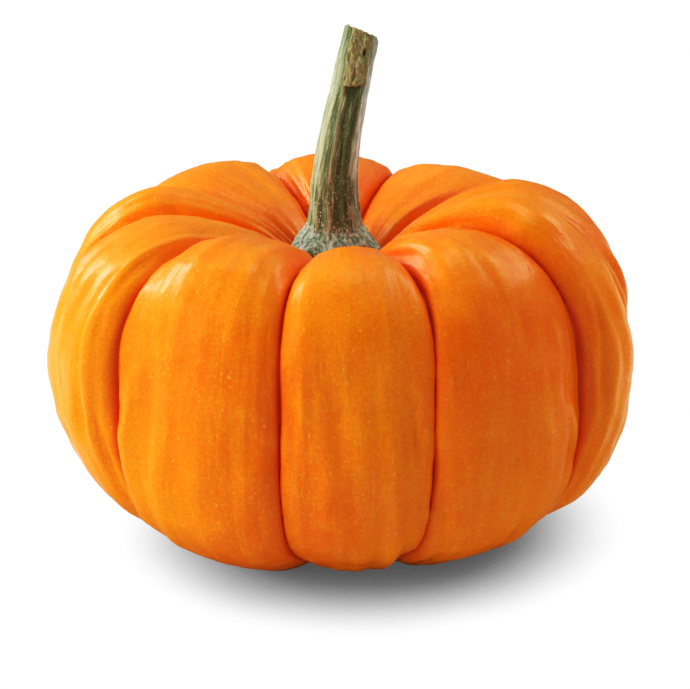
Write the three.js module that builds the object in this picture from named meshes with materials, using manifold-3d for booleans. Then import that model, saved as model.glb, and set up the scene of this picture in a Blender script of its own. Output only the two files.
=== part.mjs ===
// A miniature pumpkin with its cut stem, resting on the small flats under its ribs.
// Millimetres, +Z up, front towards -Y. The origin is at the middle of the base.
import * as THREE from "three";
import { mergeVertices } from "three/addons/utils/BufferGeometryUtils.js";
import Module from "manifold-3d";

// Driving dimensions of the fruit, in millimetres and degrees.
// Each outline runs from the stem cavity over the shoulder and down to the blossom end, as [radius, height].
const CREST_OUTLINE = [
  [4.5, 43.5],
  [14, 51],
  [27.5, 55],
  [37, 50.5],
  [42, 42],
  [44, 31.5],
  [43, 21.5],
  [36.5, 10],
  [18, 0],
  [5, 2.5],
];
const GROOVE_OUTLINE = [
  [4.5, 42],
  [15, 47.5],
  [27.5, 49.5],
  [35, 48],
  [40, 41.5],
  [41, 32],
  [40.2, 22],
  [34.6, 11.5],
  [17.2, 3],
  [4.5, 5],
];
const CAVITY_FLOOR = 41.5;
const BLOSSOM_DIMPLE = 5;
const RIB_SQUARENESS = 2.2;
const RIB_ROUNDNESS = 0.5;

// One row for each rib, going round clockwise as seen from above, from the front. groove: the bearing of the groove
// before it. turn: how far that groove swings on its way down. shoulder, side and foot: how far the rib stands out.
const RIBS = [
  { groove: -20, turn: 10, shoulder: 0.2, side: -2.9, foot: 0.2 },
  { groove: 14, turn: -1, shoulder: 1, side: -2.5, foot: 1.9 },
  { groove: 55, turn: -5, shoulder: -0.8, side: 2.5, foot: 1.1 },
  { groove: 90, turn: 0, shoulder: 0.4, side: 1.1, foot: 0.5 },
  { groove: 111, turn: 2, shoulder: -1.2, side: 0, foot: 0.5 },
  { groove: 159, turn: 0, shoulder: -2.2, side: -2.5, foot: 0.5 },
  { groove: 196, turn: 0, shoulder: -2.9, side: -1.8, foot: 0.5 },
  { groove: 248, turn: -1, shoulder: 0.4, side: 1.5, foot: 0.5 },
  { groove: 282, turn: -5, shoulder: 3, side: 3.4, foot: 1.7 },
  { groove: 303, turn: 0, shoulder: 0.6, side: -1, foot: 1.6 },
];
// Where along the outline, from 0 at the cavity to 1 at the blossom end, each of those reaches its most.
const SWELLS = [
  { name: "shoulder", at: 0.22, spread: 0.13 },
  { name: "side", at: 0.5, spread: 0.17 },
  { name: "foot", at: 0.76, spread: 0.13 },
];

// Driving dimensions of the stem. Each level is [centre x, height, radius], from its underside to the cut end.
const STEM_LEVELS = [
  [-0.8, 44.8, 3],
  [-0.8, 45.6, 5],
  [-0.8, 46.9, 6.3],
  [-0.75, 47.6, 6],
  [-0.7, 48.8, 5.1],
  [-0.65, 50.4, 4.1],
  [-0.5, 53.5, 3.65],
  [-0.3, 58.2, 3.3],
  [0.4, 63.2, 3.05],
  [1.4, 68.3, 2.85],
  [2.4, 72.6, 2.7],
  [3.2, 76.1, 2.5],
  [3.85, 78.7, 2.3],
  [4.3, 80.9, 2.1],
];
const STEM_RIDGES = 5;
const RIDGE_DEPTH = 0.07;
const FOOT_LOBE_DEPTH = 0.1;
const FOOT_TOP = 50;
const FOOT_BLEND = 3;
// The cut end drops towards +X and towards the back. The levels tilt to meet it from CUT_STARTS up.
const CUT_SLOPE = { x: -0.48, y: -0.45 };
const CUT_STARTS = 72;

// How finely the surfaces are divided.
const RIB_STEPS = 12;
const OUTLINE_STEPS = 26;
const STEM_SIDES = 30;
const GROUND_SIZE = 200;

const wasm = await Module();
wasm.setup();

const outlineCurve = (points) => new THREE.SplineCurve(points.map(([r, z]) => new THREE.Vector2(r, z)));
const crestCurve = outlineCurve(CREST_OUTLINE);
const grooveCurve = outlineCurve(GROOVE_OUTLINE);
const ribAt = (index) => RIBS[(index + RIBS.length) % RIBS.length];

// A point of an outline moved outwards, square to the outline, by a distance.
function offsetPoint(curve, along, distance) {
  const step = 1e-3;
  const tangent = curve.getPoint(Math.min(along + step, 1)).sub(curve.getPoint(Math.max(along - step, 0)));
  const outward = new THREE.Vector2(-tangent.y, tangent.x).normalize();
  return curve.getPoint(along).addScaledVector(outward, distance);
}

// How far a rib stands out from the plain outline.
function ribSwell(index, along) {
  const rib = ribAt(index);
  return SWELLS.reduce((sum, { name, at, spread }) => sum + rib[name] * Math.exp(-(((along - at) / spread) ** 2)), 0);
}

// A groove's point on the outline, halfway between its two ribs' swells, and its bearing in degrees.
function groovePoint(index, along) {
  return offsetPoint(grooveCurve, along, (ribSwell(index - 1, along) + ribSwell(index, along)) / 2);
}

function grooveBearing(index, along) {
  const laps = Math.floor(index / RIBS.length);
  return ribAt(index).groove + 360 * laps + ribAt(index).turn * (along - 0.5);
}

// The skin point of a rib. across runs from -1 in the groove before it to 1 in the groove after it.
function skinPoint(index, across, along) {
  const fullness = (1 - Math.abs(across) ** RIB_SQUARENESS) ** RIB_ROUNDNESS;
  const valley = groovePoint(index, along).lerp(groovePoint(index + 1, along), (across + 1) / 2);
  const point = valley.lerp(offsetPoint(crestCurve, along, ribSwell(index, along)), fullness);
  const before = grooveBearing(index, along);
  const after = grooveBearing(index + 1, along);
  const bearing = THREE.MathUtils.degToRad(before + ((after - before) * (across + 1)) / 2);
  return [-point.x * Math.sin(bearing), -point.x * Math.cos(bearing), point.y];
}

// A closed mesh from rings of equal length that go round clockwise from above, capped by a point at each end.
function ringSolid(rings, firstPole, lastPole) {
  const count = rings[0].length;
  const positions = [firstPole, ...rings.flat(), lastPole];
  const last = positions.length - 1;
  const at = (ring, column) => 1 + ring * count + (column % count);
  const faces = [];
  for (let c = 0; c < count; c += 1) {
    faces.push([0, at(0, c + 1), at(0, c)]);
    faces.push([last, at(rings.length - 1, c), at(rings.length - 1, c + 1)]);
    for (let r = 0; r < rings.length - 1; r += 1) {
      faces.push([at(r, c), at(r, c + 1), at(r + 1, c + 1)]);
      faces.push([at(r, c), at(r + 1, c + 1), at(r + 1, c)]);
    }
  }
  const geometry = new THREE.BufferGeometry();
  geometry.setAttribute("position", new THREE.Float32BufferAttribute(positions.flat(), 3));
  geometry.setIndex(faces.flat());
  return geometry;
}

function toManifold(geometry) {
  const bare = geometry.clone().deleteAttribute("normal").deleteAttribute("uv");
  const merged = mergeVertices(bare, 1e-4);
  return new wasm.Manifold(
    new wasm.Mesh({
      numProp: 3,
      vertProperties: merged.attributes.position.array,
      triVerts: new Uint32Array(merged.index.array),
    }),
  );
}

function fromManifold(solid) {
  const { vertProperties, triVerts } = solid.getMesh();
  const geometry = new THREE.BufferGeometry();
  geometry.setAttribute("position", new THREE.BufferAttribute(vertProperties, 3));
  geometry.setIndex(new THREE.BufferAttribute(triVerts, 1));
  geometry.computeVertexNormals();
  return geometry;
}

// The fruit: ten ribs from the stem cavity to the blossom dimple, trimmed level where they rest on the ground.
function fruitGeometry() {
  const rings = [];
  for (let row = 0; row <= OUTLINE_STEPS; row += 1) {
    const ring = [];
    for (let column = 0; column < RIBS.length * RIB_STEPS; column += 1) {
      const step = column % RIB_STEPS;
      const across = -Math.cos((Math.PI * step) / RIB_STEPS);
      ring.push(skinPoint(Math.floor(column / RIB_STEPS), across, row / OUTLINE_STEPS));
    }
    rings.push(ring);
  }
  const skin = ringSolid(rings, [0, 0, CAVITY_FLOOR], [0, 0, BLOSSOM_DIMPLE]);
  const ground = new THREE.BoxGeometry(GROUND_SIZE, GROUND_SIZE, GROUND_SIZE).translate(0, 0, -GROUND_SIZE / 2);
  return fromManifold(toManifold(skin).subtract(toManifold(ground)));
}

// The stem: a bent, tapering stalk with five ridges, which spread into the lobes of its foot.
function stemGeometry() {
  const rings = STEM_LEVELS.map(([x, height, radius]) => {
    const inFoot = THREE.MathUtils.clamp((FOOT_TOP - height) / FOOT_BLEND, 0, 1);
    const depth = THREE.MathUtils.lerp(RIDGE_DEPTH, FOOT_LOBE_DEPTH, inFoot);
    const cut = THREE.MathUtils.smoothstep(height, CUT_STARTS, STEM_LEVELS.at(-1)[1]);
    return Array.from({ length: STEM_SIDES }, (_, side) => {
      const bearing = (2 * Math.PI * side) / STEM_SIDES;
      const r = radius * (1 + depth * Math.cos(STEM_RIDGES * bearing));
      const east = -r * Math.sin(bearing);
      const north = -r * Math.cos(bearing);
      return [x + east, north, height + cut * (CUT_SLOPE.x * east + CUT_SLOPE.y * north)];
    });
  }).reverse();
  const [topX, topHeight] = STEM_LEVELS.at(-1);
  const [footX, footHeight] = STEM_LEVELS[0];
  return ringSolid(rings, [topX, 0, topHeight], [footX, 0, footHeight]);
}

const fruit = new THREE.Mesh(
  fruitGeometry(),
  new THREE.MeshStandardMaterial({ color: 0xe87808, roughness: 0.35, metalness: 0 }),
);
fruit.name = "fruit";

const stem = new THREE.Mesh(
  stemGeometry(),
  new THREE.MeshStandardMaterial({ color: 0x7c7c58, roughness: 0.85, metalness: 0 }),
);
stem.name = "stem";

// The ribs are uneven, so the pumpkin is moved to bring the middle of its base to the origin.
const pumpkin = new THREE.Group();
pumpkin.add(fruit, stem);
const box = new THREE.Box3().setFromObject(pumpkin);
const middle = box.getCenter(new THREE.Vector3());
pumpkin.position.set(-middle.x, -middle.y, -box.min.z);

const part = new THREE.Group();
part.add(pumpkin);

export default part;
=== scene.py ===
"""A miniature pumpkin: a ribbed fruit and its cut, woody stem, on a plain pale floor."""

import math

import bpy
from mathutils import Matrix, Vector


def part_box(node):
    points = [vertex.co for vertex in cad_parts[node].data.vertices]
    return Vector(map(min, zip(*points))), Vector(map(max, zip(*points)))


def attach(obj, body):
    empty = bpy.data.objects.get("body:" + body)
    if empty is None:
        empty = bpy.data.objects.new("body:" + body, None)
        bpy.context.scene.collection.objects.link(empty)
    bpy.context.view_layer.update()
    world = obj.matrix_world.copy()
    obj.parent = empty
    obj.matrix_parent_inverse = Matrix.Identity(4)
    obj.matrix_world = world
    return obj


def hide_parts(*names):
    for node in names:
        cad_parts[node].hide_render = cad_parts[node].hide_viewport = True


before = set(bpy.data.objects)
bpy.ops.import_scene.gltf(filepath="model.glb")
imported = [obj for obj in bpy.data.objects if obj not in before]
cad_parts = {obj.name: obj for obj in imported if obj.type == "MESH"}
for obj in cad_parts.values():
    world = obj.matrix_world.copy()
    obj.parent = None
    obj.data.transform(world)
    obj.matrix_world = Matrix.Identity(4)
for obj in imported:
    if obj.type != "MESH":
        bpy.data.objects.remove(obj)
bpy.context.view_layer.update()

bl_info = {
    "name": "Miniature Pumpkin",
    "version": (1, 0, 0),
    "blender": (4, 5, 0),
    "location": "3D View > Sidebar > Pumpkin",
    "description": "Builds a ribbed miniature pumpkin with a cut woody stem",
    "category": "Object",
}

MM = 0.001

# The fruit's outlines, from the stem cavity over the shoulder and down to the blossom end: (radius, height)
# in millimetres. The first and last points lie on the axis, where the ribs meet.
CREST_OUTLINE = [
    (0, 41.5), (4.5, 43.5), (14, 51), (27.5, 55), (37, 50.5), (42, 42),
    (44, 31.5), (43, 21.5), (36.5, 10), (18, 0), (5, 2.5), (0, 5),
]
GROOVE_OUTLINE = [
    (0, 41.5), (4.5, 42), (15, 47.5), (27.5, 49.5), (35, 48), (40, 41.5),
    (41, 32), (40.2, 22), (34.6, 11.5), (17.2, 3), (4.5, 5), (0, 5),
]
# One row for each rib, clockwise as seen from above, from the front: the bearing of the groove before it and
# how far that groove swings on its way down, in degrees, then how far the rib stands out at its shoulder,
# side and foot, in millimetres.
RIB_FACTS = ("groove", "turn", "shoulder", "side", "foot")
RIBS = [
    (-20, 10, 0.2, -2.9, 0.2),
    (14, -1, 1, -2.5, 1.9),
    (55, -5, -0.8, 2.5, 1.1),
    (90, 0, 0.4, 1.1, 0.5),
    (111, 2, -1.2, 0, 0.5),
    (159, 0, -2.2, -2.5, 0.5),
    (196, 0, -2.9, -1.8, 0.5),
    (248, -1, 0.4, 1.5, 0.5),
    (282, -5, 3, 3.4, 2.0),
    (303, 0, 0.6, -1, 1.6),
]
# Where the groove's points and then the ribs' points start in the fruit's cage, after the crest's points.
LAST_POINT = float(len(CREST_OUTLINE) - 1)
FIRST_GROOVE = float(len(CREST_OUTLINE))
FIRST_RIB = float(len(CREST_OUTLINE) + len(GROOVE_OUTLINE))
# Where along the outline each of the last three reaches its most, and how far it spreads.
SWELLS = {"shoulder": (0.22, 0.13), "side": (0.5, 0.17), "foot": (0.76, 0.13)}

# The stem's levels, from its foot to the cut end: (centre x, height, radius) in millimetres.
STEM_LEVELS = [
    (-0.8, 45.0, 5.8), (-0.8, 46.6, 6.6), (-0.75, 47.6, 6.1), (-0.7, 48.8, 5.1), (-0.65, 50.4, 4.05),
    (-0.5, 53.5, 3.55), (-0.3, 58.2, 3.2), (0.4, 63.2, 2.95), (1.4, 68.3, 2.75), (2.4, 72.6, 2.6),
    (3.2, 76.1, 2.4), (3.85, 78.7, 2.2), (4.3, 80.9, 2.05),
]
# Ridges of the stem, anticlockwise as seen from above, from the back: (bearing from the front in degrees, how
# far it leans over by the top, height in millimetres, sharpness, how tan it is from 0 to 1).
STEM_RIDGES = [
    (-166, 0, 0.36, 22, 0.2),
    (-140, 0, 0.22, 34, 0.9),
    (-116, 0, 0.36, 20, 0.3),
    (-92, -6, 0.28, 26, 0.1),
    (-72, -8, 0.3, 34, 0.0),
    (-48, -12, 0.42, 30, 0.05),
    (-15, -8, 0.3, 34, 0.8),
    (18, 4, 0.12, 90, 0.3),
    (54, 14, 0.42, 15, 0.0),
    (84, 14, 0.24, 34, 0.3),
    (112, 0, 0.36, 20, 0.6),
    (141, 0, 0.24, 30, 0.2),
    (168, 0, 0.34, 24, 0.8),
]
# Shares of the stem's rows that close its foot from below and that make the face of the cut.
STEM_FOOT_ROWS = 0.04
STEM_CUT_ROWS = 0.13
# How far the cut drops towards +X and towards the back.
CUT_SLOPE = (-0.48, -0.45)
# Heights on the stem, in metres: where its foot fades out, where it tilts to meet the cut, the torn lower
# edge of the woody patch, and the recess under that edge.
FOOT_FADE = (0.0505, 0.0475)
CUT_FADE = (0.0715, 0.0809)
PATCH_EDGE = (0.07295, 0.0733)
RECESS_EDGE = (0.0706, 0.0728)
# The small pit in the woody patch: its bearing and half its width in degrees, then its height and how far it
# reaches up and down, in metres.
PIT_BEARING, PIT_WIDTH = 24.0, 8.0
PIT_HEIGHT, PIT_TALLNESS = 0.078, 0.0006
# Points closer than this, in metres, are welded: the seam and the ends of each piece.
WELD_DISTANCE = 2e-7
# How far apart, in points of an outline, its direction is taken, and how softly the skin meets the ground.
OUTLINE_STEP = 0.02
GROUND_SOFTNESS = 0.0004
# How far west the skin is painted yellower, as painted light on the side towards the key light, and how far
# out its side wrinkles grow, in metres.
PAINTED_LIGHT_SIDE = (-0.018, -0.034)
WRINKLED_SIDES = (0.029, 0.04)

# The middle of the view, from the foot of the fruit's axis, in metres.
CAMERA_TARGET = (0.0005, 0.0, 0.030)
SENSOR_WIDTH = 36.0
CAMERA_CLIP = (0.01, 20.0)
# What the camera sees of the floor and the sky: just over white.
STUDIO_WHITE = 1.02
# How brightly the view shows its darker tones, each as (linear brightness, shown brightness), and which of
# the view's curves sets red, green and blue together.
DARK_TONES = [(0.08, 0.03), (0.2, 0.125), (0.3, 0.262), (0.42, 0.42)]
COMBINED_CURVE = 3
# The floor lies this far under the pumpkin, in metres, so that the two never share a plane.
FLOOR_GAP = 0.00005
# Where most of the light on the floor comes from.
FLOOR_LIGHT = (-0.22, 0.14, 0.9)
# The studio's soft lights: name, place, width and height in metres, power in watts, and whether it shows in
# gloss.
SOFTBOXES = [
    ("key_softbox", (-0.9, -0.3, 0.4), 0.7, 0.7, 8.2, False),
    ("top_softbox", (0.05, 0.15, 1.0), 0.4, 0.4, 1.3, True),
    ("back_left_softbox", (-0.76, 0.52, 0.46), 0.26, 0.5, 3.2, True),
    ("back_right_softbox", (0.66, 0.42, 0.66), 0.4, 0.4, 1.6, True),
    ("right_fill", (0.8, -0.3, 0.4), 0.6, 0.6, 1.2, False),
]


# Node trees written as sums


class Field:
    """A node's output, which adds and multiplies like a number."""

    def __init__(self, graph, socket):
        self.graph = graph
        self.socket = socket

    def __add__(self, other):
        return self.graph.math("ADD", self, other)

    def __sub__(self, other):
        return self.graph.math("SUBTRACT", self, other)

    def __rsub__(self, other):
        return self.graph.math("SUBTRACT", other, self)

    def __mul__(self, other):
        return self.graph.math("MULTIPLY", self, other)

    def __truediv__(self, other):
        return self.graph.math("DIVIDE", self, other)

    def __pow__(self, other):
        return self.graph.math("POWER", self, other)

    __radd__ = __add__
    __rmul__ = __mul__


class Graph:
    """A node tree with short ways to add its nodes."""

    def __init__(self, tree):
        self.tree = tree

    def add(self, kind, inputs=None, **settings):
        """Adds a node, sets its settings and feeds its inputs, each found by name or by place."""
        node = self.tree.nodes.new(kind)
        for name, value in settings.items():
            setattr(node, name, value)
        for key, value in (inputs or {}).items():
            self.feed(node.inputs[key], value)
        return node

    def feed(self, socket, value):
        if isinstance(value, Field):
            self.tree.links.new(value.socket, socket)
        else:
            socket.default_value = value

    def out(self, node, key=0):
        return Field(self, node.outputs[key])

    def math(self, operation, *values):
        node = self.add("ShaderNodeMath", dict(enumerate(values)), operation=operation)
        return self.out(node)

    def vector_math(self, operation, *values):
        node = self.add("ShaderNodeVectorMath", dict(enumerate(values)), operation=operation)
        return self.out(node)

    def scaled(self, vector, factor):
        node = self.add("ShaderNodeVectorMath", {"Vector": vector, "Scale": factor}, operation="SCALE")
        return self.out(node)

    def combine(self, x, y, z):
        return self.out(self.add("ShaderNodeCombineXYZ", {"X": x, "Y": y, "Z": z}))

    def separate(self, vector):
        node = self.add("ShaderNodeSeparateXYZ", {"Vector": vector})
        return [self.out(node, axis) for axis in "XYZ"]

    def remap(self, value, low, high, to_low=0.0, to_high=1.0, smooth=True):
        """Takes low..high to to_low..to_high, and holds it there beyond."""
        kind = "SMOOTHSTEP" if smooth else "LINEAR"
        inputs = {"Value": value, "From Min": low, "From Max": high, "To Min": to_low, "To Max": to_high}
        return self.out(self.add("ShaderNodeMapRange", inputs, interpolation_type=kind))

    def noise(self, vector, scale, detail=2.0, roughness=0.5):
        inputs = {"Vector": vector, "Scale": scale, "Detail": detail, "Roughness": roughness}
        return self.out(self.add("ShaderNodeTexNoise", inputs), "Fac")

    def group(self, group_tree, inputs):
        """What a node group of this tree's own sort puts out."""
        kind = group_tree.bl_idname.replace("Tree", "Group")
        return self.out(self.add(kind, inputs, node_tree=group_tree))


def new_tree(name, kind, inputs, outputs):
    """A node tree with named sockets. Each is (name, socket type) or (name, socket type, default)."""
    tree = bpy.data.node_groups.new(name, kind)
    for in_out, sockets in (("INPUT", inputs), ("OUTPUT", outputs)):
        for socket_name, socket_type, *default in sockets:
            socket = tree.interface.new_socket(socket_name, in_out=in_out, socket_type=socket_type)
            if default:
                socket.default_value = default[0]
    graph = Graph(tree)
    start = tree.nodes.new("NodeGroupInput")
    end = tree.nodes.new("NodeGroupOutput")
    given = {socket_name: Field(graph, start.outputs[socket_name]) for socket_name, *_ in inputs}
    return graph, given, end


GEOMETRY = "NodeSocketGeometry"
FLOAT = "NodeSocketFloat"
INTEGER = "NodeSocketInt"
VECTOR = "NodeSocketVector"
MATERIAL = "NodeSocketMaterial"
# The facts on points that are vectors. All the others are plain numbers.
VECTOR_FACTS = ("grain", "place")


# Geometry node groups


def fact_type(name):
    return "FLOAT_VECTOR" if name in VECTOR_FACTS else "FLOAT"


def read_fact(graph, name):
    """What the points of a geometry say under that name."""
    return graph.out(graph.add("GeometryNodeInputNamedAttribute", {"Name": name}, data_type=fact_type(name)))


def read_position(graph):
    return graph.out(graph.add("GeometryNodeInputPosition"))


def changed(graph, kind, geometry, inputs=None, **settings):
    """The geometry as a node of that kind leaves it."""
    return graph.out(graph.add(kind, {"Geometry": geometry, **(inputs or {})}, **settings))


def moved(graph, geometry, how, vector):
    """The geometry with its points moved, to a Position or by an Offset."""
    return changed(graph, "GeometryNodeSetPosition", geometry, {how: vector})


def stored(graph, geometry, facts):
    """The geometry with facts on its points, each a name with its value."""
    kind = "GeometryNodeStoreNamedAttribute"
    for name, value in facts.items():
        inputs = {"Name": name, "Value": value}
        geometry = changed(graph, kind, geometry, inputs, data_type=fact_type(name), domain="POINT")
    return geometry


def welded(graph, geometry):
    return changed(graph, "GeometryNodeMergeByDistance", geometry, {"Distance": WELD_DISTANCE})


def finished(graph, geometry, material):
    """The geometry with smooth shading, made real and given its material."""
    geometry = changed(graph, "GeometryNodeSetShadeSmooth", geometry)
    geometry = changed(graph, "GeometryNodeRealizeInstances", geometry)
    return changed(graph, "GeometryNodeSetMaterial", geometry, {"Material": material})


def counted_grid(graph, columns, rows):
    """A flat grid, then the number of each point's column, and its row as a share from 0 to 1."""
    steps = rows - 1.0
    grid = graph.add("GeometryNodeMeshGrid", {
        "Size X": columns, "Size Y": steps, "Vertices X": columns + 1.1, "Vertices Y": rows,
    })
    across, along, _ = graph.separate(read_position(graph))
    column = graph.math("ROUND", across + columns * 0.5)
    share = graph.math("ROUND", along + steps * 0.5) / steps
    return graph.out(grid, "Mesh"), column, share


def clamped(graph, value, low, high):
    return graph.math("MINIMUM", graph.math("MAXIMUM", value, low), high)


def sample_cage(graph, cage, value, index, data_type="FLOAT_VECTOR"):
    """What the cage's point of that index says."""
    inputs = {"Geometry": cage, "Value": value, "Index": index + 0.1}
    node = graph.add("GeometryNodeSampleIndex", inputs, data_type=data_type, domain="POINT", clamp=True)
    return graph.out(node)


def outline_group():
    """A smooth curve through the cage's points First to Last: its point at Place, counted in points."""
    graph, given, end = new_tree(
        "Outline Point",
        "GeometryNodeTree",
        [("Cage", GEOMETRY), ("First", FLOAT), ("Last", FLOAT), ("Place", FLOAT)],
        [("Point", VECTOR)],
    )
    position = read_position(graph)
    span = given["Last"] - given["First"]
    place = clamped(graph, given["Place"], 0.0, span - 1e-4)
    whole = graph.math("FLOOR", place)
    part = place - whole

    def neighbour(step):
        index = clamped(graph, whole + step, 0.0, span)
        return sample_cage(graph, given["Cage"], position, given["First"] + index)

    before, here, after, beyond = (neighbour(step) for step in (-1.0, 0.0, 1.0, 2.0))
    # The four weights of a uniform Catmull-Rom curve.
    square = part * part
    cube = square * part
    weights = (
        (square * 2.0 - cube - part) * 0.5,
        (cube * 3.0 - square * 5.0 + 2.0) * 0.5,
        (square * 4.0 - cube * 3.0 + part) * 0.5,
        (cube - square) * 0.5,
    )
    point = None
    for vector, weight in zip((before, here, after, beyond), weights):
        term = graph.scaled(vector, weight)
        point = term if point is None else graph.vector_math("ADD", point, term)
    graph.feed(end.inputs["Point"], point)
    return graph.tree


def swell_group():
    """How far a rib stands out from the plain outline at Place, in metres."""
    graph, given, end = new_tree(
        "Rib Swell",
        "GeometryNodeTree",
        [("Cage", GEOMETRY), ("Rib", FLOAT), ("Place", FLOAT)],
        [("Swell", FLOAT)],
    )
    total = None
    for name, (at, spread) in SWELLS.items():
        most = sample_cage(graph, given["Cage"], read_fact(graph, name), given["Rib"] + FIRST_RIB, "FLOAT")
        bell = graph.math("EXPONENT", ((share_along(given["Place"]) - at) / spread) ** 2.0 * -1.0)
        total = most * bell if total is None else total + most * bell
    fade_in = graph.remap(given["Place"], 0.0, 1.0)
    fade_out = graph.remap(LAST_POINT - given["Place"], 0.0, 1.0)
    graph.feed(end.inputs["Swell"], total * MM * fade_in * fade_out)
    return graph.tree


def share_along(place):
    """A place of an outline, from 0 at its second point to 1 at its last but one."""
    return (place - 1.0) / (LAST_POINT - 2.0)


def skin_relief_group():
    """Height of the skin's unevenness: broad lumps, dents, and wrinkles that run down the ribs."""
    graph, given, end = new_tree(
        "Skin Relief",
        "GeometryNodeTree",
        [
            ("Position", VECTOR), ("Grain", VECTOR), ("Crease", FLOAT), ("Along", FLOAT),
            ("Lump Height", FLOAT), ("Wrinkle Height", FLOAT),
        ],
        [("Height", FLOAT)],
    )
    lumps = graph.noise(given["Position"], 62.0, 1.5) - 0.5
    dents = graph.noise(given["Position"], 210.0, 1.5) - 0.5
    wide_wrinkles = graph.noise(given["Grain"], 250.0, 1.0, 0.4) - 0.5
    wrinkles = graph.noise(given["Grain"], 640.0, 1.0, 0.45) - 0.5
    where = graph.remap(graph.noise(given["Position"], 48.0, 1.0), 0.4, 0.62, 0.25, 1.0)
    crease = given["Crease"]
    flank = graph.remap(crease, 0.02, 0.3, 0.5, 1.0) * graph.remap(crease, 0.85, 0.45, 0.15, 1.0)
    east, _, _ = graph.separate(given["Position"])
    sides = graph.remap(graph.math("ABSOLUTE", east), *WRINKLED_SIDES, 1.0, 1.7)
    body = graph.remap(given["Along"], -0.05, 0.1) * graph.remap(given["Along"], 1.02, 0.9)
    wrinkled = (wide_wrinkles + wrinkles * 0.55 * sides) * where * flank * given["Wrinkle Height"]
    lumpy = (lumps + dents * 0.45) * given["Lump Height"]
    graph.feed(end.inputs["Height"], (wrinkled + lumpy) * 2.0 * body)
    return graph.tree


def outline_at(graph, cage, outline, first, place):
    inputs = {"Cage": cage, "First": first, "Last": first + LAST_POINT, "Place": place}
    return graph.group(outline, inputs)


def outward(graph, cage, outline, first, place):
    """The direction square to an outline at a place, away from the fruit."""
    ahead = outline_at(graph, cage, outline, first, place + OUTLINE_STEP)
    behind = outline_at(graph, cage, outline, first, place - OUTLINE_STEP)
    east, _, up = graph.separate(graph.vector_math("SUBTRACT", ahead, behind))
    return graph.vector_math("NORMALIZE", graph.combine(up * -1.0, 0.0, east))


def rib_swells(graph, cage, swell, rib, place):
    """How far a rib, the one before it and the one after it stand out at a place."""
    # No rib stands out at either end, where all of them meet in one point.
    between_ends = graph.remap(place, 0.0, 0.25) * graph.remap(place, LAST_POINT, LAST_POINT - 0.25)
    count = float(len(RIBS))
    before = graph.math("MODULO", rib + (count - 1.0), count)
    after = graph.math("MODULO", rib + 1.0, count)
    return [
        graph.group(swell, {"Cage": cage, "Rib": which, "Place": place}) * between_ends
        for which in (rib, before, after)
    ]


def rib_section(graph, cage, outline, swells, across, place, fullness):
    """The radius and the height of the skin, between a rib's crest and the grooves at its sides."""
    here, before, after = swells
    groove = outline_at(graph, cage, outline, FIRST_GROOVE, place)
    groove_swell = (before + here) * 0.5 + ((after - before) * 0.5) * ((across + 1.0) * 0.5)
    groove_out = graph.scaled(outward(graph, cage, outline, FIRST_GROOVE, place), groove_swell)
    crest = outline_at(graph, cage, outline, 0.0, place)
    crest_out = graph.scaled(outward(graph, cage, outline, 0.0, place), here)
    mixed = graph.add("ShaderNodeMix", {
        "Factor": fullness,
        4: graph.vector_math("ADD", groove, groove_out),
        5: graph.vector_math("ADD", crest, crest_out),
    }, data_type="VECTOR")
    radius, _, height = graph.separate(graph.out(mixed, 1))
    return radius, height


def groove_bearing(graph, cage, rib, laps, place):
    """The bearing in degrees of the groove before a rib, after so many whole turns."""
    groove = sample_cage(graph, cage, read_fact(graph, "groove"), rib + FIRST_RIB, "FLOAT")
    turn = sample_cage(graph, cage, read_fact(graph, "turn"), rib + FIRST_RIB, "FLOAT")
    return groove + laps * 360.0 + turn * (clamped(graph, share_along(place), 0.0, 1.0) - 0.5)


def rib_bearing(graph, cage, rib, across, place):
    """The bearing in radians, between the grooves at a rib's sides."""
    count = float(len(RIBS))
    left = groove_bearing(graph, cage, rib, 0.0, place)
    laps = graph.math("FLOOR", (rib + 1.0) / count + 0.001)
    right = groove_bearing(graph, cage, graph.math("MODULO", rib + 1.0, count), laps, place)
    return graph.math("RADIANS", left + (right - left) * ((across + 1.0) * 0.5))


def blossom_scar(graph, position, scar_radius):
    """The scar, a corky button with a raised, broken rim: where it is, and how far it stands out."""
    east, north, up = graph.separate(position)
    from_axis = graph.math("SQRT", east * east + north * north)
    below = graph.remap(up, 0.03, 0.02)
    cork = graph.noise(position, 900.0, 2.0)
    ragged = from_axis / scar_radius + (cork - 0.5) * 0.5
    rim = graph.math("EXPONENT", ((ragged - 0.85) / 0.2) ** 2.0 * -1.0) * 0.0004
    button = graph.remap(ragged, 0.35, 0.1) * 0.0007
    scar = graph.remap(ragged, 1.15, 0.85) * below
    return scar, (rim + button + scar * cork * 0.0004) * below


def ribbed_mesh(graph, given, outline, swell):
    """The plain ribbed skin, with the facts that its relief and its material read."""
    cage, per_rib = given["Cage"], given["Steps per Rib"]
    count = float(len(RIBS))
    flat, column, row_share = counted_grid(graph, per_rib * count, given["Rows"])
    place = row_share * LAST_POINT
    rib = graph.math("MINIMUM", graph.math("FLOOR", column / per_rib + 0.001), count - 1.0)
    across = graph.math("COSINE", (column / per_rib - rib) * math.pi) * -1.0
    shape = graph.math("ABSOLUTE", across) ** given["Rib Squareness"]
    fullness = (1.0 - shape) ** given["Rib Roundness"]
    swells = rib_swells(graph, cage, swell, rib, place)
    radius, height = rib_section(graph, cage, outline, swells, across, place, fullness)
    bearing = rib_bearing(graph, cage, rib, across, place)
    sine, cosine = graph.math("SINE", bearing), graph.math("COSINE", bearing)
    along = share_along(place)
    skin = graph.combine(radius * sine * -1.0, radius * cosine * -1.0, height)
    geometry = stored(graph, flat, {
        "crease": 1.0 - fullness,
        "along": along,
        "grain": graph.combine(sine * 0.042, cosine * 0.042, along * 0.011),
        "rib_tint": graph.math("FRACT", graph.math("SINE", rib * 12.9 + 1.7) * 43.7),
    })
    return welded(graph, moved(graph, geometry, "Position", skin))


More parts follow.
